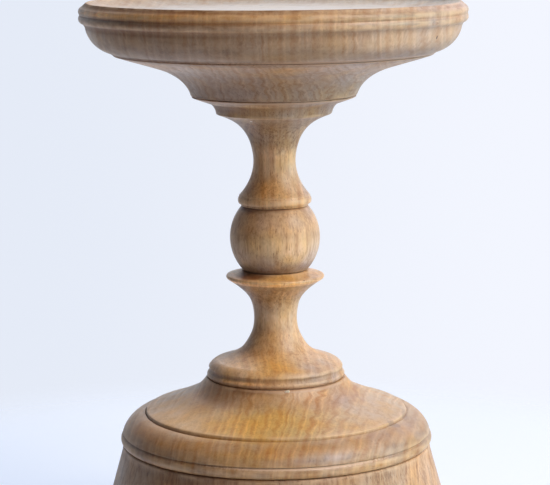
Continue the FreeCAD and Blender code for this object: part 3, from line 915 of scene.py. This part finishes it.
dome_painted_light_and_tones = [
    # On the dome: painted shade below the stem's foot on the left, painted light and shade over the
    # field and the torus, a cool painted reflection on the torus's front right, bead highlights cut back
    # at the front right and painted in lower down, and golden tones in front
    ((-11, -26, 64), (14, 10, 2), (0.58, 0.50, 0.45), 1),
    ((19, -20, 64), (12, 12, 1.6), (0.84, 0.86, 0.94), 1),
    ((-20, -17, 62), (16, 16, 5.5), (0.76, 0.73, 0.72), 1),
    ((18, -20, 62), (18, 18, 6), (0.96, 0.97, 1.08), 1.2),
    ((12, -25, 60.5), (16, 14, 4.5), (1.10, 1.09, 1.06), 1),
    ((-28, -18, 58.5), (15, 15, 4), (0.86, 0.82, 0.76), 1),
    ((24, -34, 56.5), (14, 12, 5), (1.04, 1, 0.84), 1),
    ((34, -24, 56), (34, 34, 12), (0.94, 0.96, 1.08), 1.3),
    (*level(55.4, 4.6), (1.18, 1.22, 1.18), 1.3),
    ((-3, -40, 54.5), (30, 24, 9), (1.03, 0.99, 0.68), 1.1),
    ((-22, -34, 54), (32, 26, 6), (1.14, 1.16, 1.14), 1.2),
    ((-38, -22, 54), (18, 22, 5), (1.14, 1.12, 1.08), 1.2),
    (*level(49.8, 3), (0.92, 0.88, 0.82), 1),
    ((10, -52, 49.6), (26, 14, 1.9), (0.94, 0.88, 0.78), 1),
    ((34, -38, 47.5), (30, 26, 6.5), (0.90, 0.94, 1.10), 1.3),
    ((-11, -53, 47), (20, 12, 4.5), (1.10, 1, 0.66), 1.3),
    ((17, -52, 46.8), (15, 12, 2.4), (0.80, 0.84, 0.98), 1.1),
    ((23, -52, 46.8), (10, 9, 2.6), (0.80, 0.80, 0.84), 1),
    ((16.3, -51.9, 46.6), (1, 1.6, 2.4), (0.76, 0.74, 0.72), 1),
    ((-44, -24, 46.5), (26, 36, 7), (0.96, 0.88, 0.82), 1),
    ((4, -56, 46.3), (12, 8, 1.8), (0.92, 0.97, 1.36), 1),
    (*level(45.2, 3.8), (0.72, 0.74, 0.82), 1.1),
    ((18, -60, 43.2), (34, 20, 1.2), (0.76, 0.70, 0.64), 1),
    ((-38, -40, 42.5), (36, 36, 3.2), (0.84, 0.84, 0.86), 1),
    ((-40, -45, 41.5), (40, 40, 2), (0.84, 0.82, 0.82), 1),
    ((14, -62, 41.5), (20, 16, 2.2), (1.16, 1.12, 1.04), 1),
    ((16, -62, 40), (28, 16, 0.9), (1.50, 1.50, 1.45), 1),
]
body_painted_light_and_tones = [
    # On the body, all painted light and shade: shade on the left, and cool painted light on the right
    ((-38, -50, 34), (26, 30, 22), (0.82, 0.81, 0.82), 1),
    ((16, -60, 33), (24, 22, 20), (1.14, 1.13, 1.12), 1),
    ((-24, -56, 30), (50, 40, 26), (0.76, 0.73, 0.73), 1.1),
    ((60, -16, 30), (32, 48, 26), (1.36, 1.42, 1.62), 1.2),
]

# Finish of each turned piece
turned_finishes = {
    "dish": ("oak_disc", oak(
        "dish_oak", tilt=2, turn=-6, shift=(3, 5, 0), ring_width=3.7, wander=0.8, ripple=0.2,
        lines=0.75, scales=0.2, pores=0.25, streaks=0.35, golden=0.4, cloud=1.4,
        tint=(0.90, 0.92, 0.98), hollow_shade=0.8, painted_light_and_tones=dish_painted_light_and_tones,
        calm=[((0, 0, 196.4), (90, 90, 5))], marks=dish_marks, polish=dish_polish,
    )),
    "dish_boss": ("oak_disc", oak(
        "boss_oak", tilt=-12, turn=-6, shift=(11, 40, 7), wander=1.2, ripple=0.4,
        lines=0.8, scales=0.7, scale_height=2.8, streaks=0.35, golden=0.25,
        tint=(1.0, 1.02, 1.12), painted_light_and_tones=boss_painted_light_and_tones, marks=boss_marks,
    )),
    "upper_stem": ("oak_spindle", oak(
        "upper_stem_oak", turn=4, shift=(9, 2, 0), wander=0.6, ripple=0.3,
        mottled=[((0, 0, 154), (30, 30, 12), 0.7), ((-3, -9, 134), (9, 6, 7), 0.4)],
        pores=0.7, golden=0.45, tint=(1.27, 1.25, 1.22),
        painted_light_and_tones=upper_stem_painted_light_and_tones, marks=cap_marks,
    )),
    "ball": ("oak_spindle", oak(
        "ball_oak", turn=-5, shift=(2, 30, 14), ring_width=3.6, wander=0.5, ripple=0.3,
        mottled=[((-8, -12, 120), (16, 16, 9), 0.35)],
        lines=0.3, pores=0.65, streaks=0.75, golden=0.35, tint=(1.13, 1.11, 1.10),
        painted_light_and_tones=ball_painted_light_and_tones,
    )),
    "lower_stem": ("oak_spindle", oak(
        "lower_stem_oak", turn=8, shift=(30, 7, 60), ring_width=3.2, wander=0.6, ripple=0.3,
        mottled=[((-2, -8, 95), (14, 14, 7), 0.6), ((-6, -10, 82), (9, 9, 4), 0.5)],
        lines=0.5, scales=0.4, golden=0.55, tint=(1.26, 1.28, 1.28),
        crevice_dirt_and_shade=0.3, hollow_shade=0.5, painted_light_and_tones=lower_stem_painted_light_and_tones, marks=lower_stem_marks, polish=flange_polish,
    )),
    "base_dome": ("oak_disc", oak(
        "dome_oak", tilt=8, turn=-9, shift=(0, 9, 3), ring_width=3.3, wander=0.8, ripple=0.4,
        lines=0.9, scales=0.5, scale_height=3.4, scaly=[((16, -26, 58), (46, 38, 12))],
        pores=0.3, streaks=0.35, golden=0.55, tint=(1.02, 1.01, 0.97), crevice_dirt_and_shade=0.18, hollow_shade=0.35,
        calm=[((-34, -22, 54), (34, 30, 9)), ((46, -22, 56), (36, 32, 11))],
        painted_light_and_tones=dome_painted_light_and_tones, marks=dome_marks, polish=dome_polish,
    )),
    "base_body": ("oak_disc", oak(
        "body_oak", turn=10, shift=(50, 3, 2), ring_width=2.6, wander=0.5, ripple=0.2,
        pores=0.7, streaks=0.9, golden=0.4, tint=(0.83, 0.79, 0.77), painted_light_and_tones=body_painted_light_and_tones,
    )),
    "plinth": ("oak_disc", oak("plinth_oak", turn=-12, shift=(21, 33, 5), golden=0.4)),
}

sections = {name: Section(name) for name in turned_finishes}
for name, section in sections.items():
    section.near([other for label, other in sections.items() if label != name])
for name, (slot, material) in turned_finishes.items():
    piece = sections[name].spun("turned_" + name, material)
    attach(piece, "root")
    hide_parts(name)

felt = Section("felt_pad").spun("felt_disc", pressed_felt())
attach(felt, "root")
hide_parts("felt_pad")

# A flake of dried glue left standing in the joint at the stem's foot, its corners in
# millimetres round its own middle
flake_middle = Vector((3.9, -25.2, 64.3))
flake_lean = math.radians(-38)
flake_bevel = 0.07 * MM
flake_corners = (
    (-1.1, 0.0, 0.0), (-0.5, 0.4, 0.1), (0.2, 0.5, -0.1), (0.9, 0.2, 0.1),
    (1.0, -0.2, 0.0), (0.5, -0.5, 0.1), (-0.4, -0.3, -0.1), (-0.2, 0.0, 0.35),
    (0.5, 0.1, 0.65), (0.8, 0.0, 0.3), (-0.6, 0.1, -0.4), (0.7, 0.1, -0.5),
)


def glue_flake():
    """A small lump with rounded edges round the corners above."""
    work = bmesh.new()
    for corner in flake_corners:
        work.verts.new(Vector(corner) * MM)
    hull = bmesh.ops.convex_hull(work, input=work.verts)
    spare = [item for item in hull["geom_interior"] if isinstance(item, bmesh.types.BMVert)]
    bmesh.ops.delete(work, geom=spare, context="VERTS")
    bmesh.ops.bevel(
        work, geom=work.edges[:] + work.verts[:], offset=flake_bevel,
        segments=2, affect="EDGES", clamp_overlap=True,
    )
    turned = Matrix.Translation(flake_middle * MM) @ Matrix.Rotation(flake_lean, 4, "X")
    bmesh.ops.transform(work, matrix=turned, verts=work.verts)
    mesh = bpy.data.meshes.new("glue_flake")
    work.to_mesh(mesh)
    work.free()
    mesh.materials.append(dried_glue())
    return placed("glue_flake", mesh)


flake = glue_flake()
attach(flake, "root")

for node, material in (("stem_dowel", bare_beech()), ("base_screw", plated_screw())):
    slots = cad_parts[node].data.materials
    slots.clear()
    slots.append(material)

# Lamps
stand_middle = Vector((0, 0, 0.11))
lamp_distance = 1.2
lamp_size = 0.8


def lamp(name, azimuth, elevation, power, tint):
    """A square soft lamp facing the stand's middle.

    Azimuth runs from the front towards the right. Both angles are in degrees.
    """
    data = bpy.data.lights.new(name, "AREA")
    data.shape = "SQUARE"
    data.size = lamp_size
    data.energy = power
    data.color = tint
    item = placed(name, data)
    turn, rise = math.radians(azimuth), math.radians(elevation)
    away = Vector((math.sin(turn) * math.cos(rise), -math.cos(turn) * math.cos(rise), math.sin(rise)))
    item.location = stand_middle + lamp_distance * away
    item.rotation_euler = away.to_track_quat("Z", "Y").to_euler()


lamp("warm_window", 60, 42, 17.1, (1.0, 0.87, 0.83))
lamp("cool_window", 80, 8, 8.0, (0.64, 0.98, 1.0))
lamp("back_light", 180, 35, 2.6, (0.95, 1.0, 1.0))
lamp("side_back_light", 140, 30, 1.6, (0.1, 0.3, 1.0))

# World: a pale backdrop for the camera, how bright each side of the room is in reflections, and
# how much light comes from all round, with more of it from below
backdrop_left = colour(229, 235, 247)
backdrop_right = colour(243, 246, 255)
backdrop_span = 0.13
reflected_sides = {(0, 1, 0): 1.3, (0, -1, 0): 0.9, (1, 0, 0): 1.2, (-1, 0, 0): 0.5}
ambient_colour = (0.86, 0.92, 1.0, 1.0)
ambient_strength = 0.03
under_strength = 0.5
under_rim = -0.3
side_sharpness = 2.0


def studio_world():
    """What the camera sees round the stand, what shines in its wax, and the light from all round."""
    world = bpy.data.worlds.new("pale_studio")
    world.use_nodes = True
    g = Graph(world.node_tree)
    g.tree.nodes.clear()
    rays = g.node("ShaderNodeLightPath").outputs
    toward = g.node("ShaderNodeTexCoord").outputs["Generated"]
    parts = g.node("ShaderNodeSeparateXYZ", {0: toward}).outputs
    backdrop = g.mix(g.ramp(parts["X"], -backdrop_span, backdrop_span), backdrop_left, backdrop_right)
    ambient = g.ramp(parts["Z"], under_rim, 0.0, under_strength, ambient_strength)
    reflected = 0.0
    for side, brightness in reflected_sides.items():
        facing = g.math("MAXIMUM", g.vector("DOT_PRODUCT", toward, side), 0.0)
        facing = g.math("POWER", facing, side_sharpness)
        reflected = g.math("MULTIPLY_ADD", facing, brightness, reflected)
    light = g.node("ShaderNodeBackground", {"Color": ambient_colour, "Strength": ambient})
    pale = g.node("ShaderNodeBackground", {"Color": backdrop, "Strength": 1.0})
    mirrored = g.node("ShaderNodeBackground", {"Color": backdrop, "Strength": reflected})
    seen = g.math("MAXIMUM", rays["Is Camera Ray"], rays["Is Transmission Ray"])
    mixed = g.blend(seen, g.blend(rays["Is Glossy Ray"], light, mirrored), pale)
    g.node("ShaderNodeOutputWorld", {"Surface": mixed.outputs[0]})
    bpy.context.scene.world = world


studio_world()

# Floor: a wide pale sheet that takes the stand's shadow close by and gives way to the
# backdrop further out
floor_radius = 3.0
floor_sides = 128

# Its colour as it lights the stand, its colour as it is seen, and what lifts that to the backdrop
floor_colour = colour(236, 241, 250)
floor_colour_seen = (0.40, 0.36, 0.22, 1.0)
floor_lift = (0.52, 0.61, 0.83, 1.0)
fade_start = 0.20
fade_end = 0.30
paper_grain = (0.004, 0.004, 0.004)
paper_grain_tint = (0.9, 0.9, 0.9, 1.0)
paper_grain_share = 0.08


def pale_floor():
    """The sheet under the stand. It can't be seen from below."""
    mesh = bpy.data.meshes.new("floor")
    ring = [2 * math.pi * i / floor_sides for i in range(floor_sides)]
    verts = [(floor_radius * math.cos(a), floor_radius * math.sin(a), 0) for a in ring]
    mesh.from_pydata(verts, [], [tuple(range(floor_sides))])
    floor = placed("floor", mesh)
    material, g = new_material("pale_floor")
    place = g.node("ShaderNodeTexCoord").outputs["Object"]
    far = g.ramp(g.vector("LENGTH", place), fade_start, fade_end)
    rays = g.node("ShaderNodeLightPath").outputs
    seen = g.math("MAXIMUM", rays["Is Camera Ray"], rays["Is Glossy Ray"])
    grain = g.times(g.noise(place, paper_grain, 3.0, 0.6), paper_grain_share)
    shade = g.mix(seen, floor_colour, floor_colour_seen)
    shade = g.mix(grain, shade, paper_grain_tint, "MULTIPLY")
    paper = g.node("ShaderNodeBsdfPrincipled", {
        "Base Color": shade, "Roughness": 0.8,
        "Emission Color": floor_lift, "Emission Strength": seen,
    })
    clear = g.node("ShaderNodeBsdfTransparent")
    below = g.node("ShaderNodeNewGeometry").outputs["Backfacing"]
    gone = g.math("MAXIMUM", g.times(far, seen), below)
    mixed = g.blend(gone, paper, clear)
    g.node("ShaderNodeOutputMaterial", {"Surface": mixed.outputs[0]})
    mesh.materials.append(material)


pale_floor()

# Camera: a long lens, looking down a little, as the photograph was taken
camera_distance = 0.7643
camera_height = 0.2358
camera_pitch = math.radians(9.1)
camera_roll = math.radians(0.4)
lens_length = 140.7
sensor_width = 36.0


def photo_camera():
    """The camera, standing in front of the stand and leaning a little."""
    data = bpy.data.cameras.new("camera")
    data.lens = lens_length
    data.sensor_width = sensor_width
    data.clip_start = 0.01
    camera = placed("camera", data)
    camera.matrix_world = (
        Matrix.Translation((0, -camera_distance, camera_height))
        @ Matrix.Rotation(math.pi / 2 - camera_pitch, 4, "X")
        @ Matrix.Rotation(-camera_roll, 4, "Z")
    )
    bpy.context.scene.camera = camera


photo_camera()
bpy.context.scene.view_settings.view_transform = "Standard"
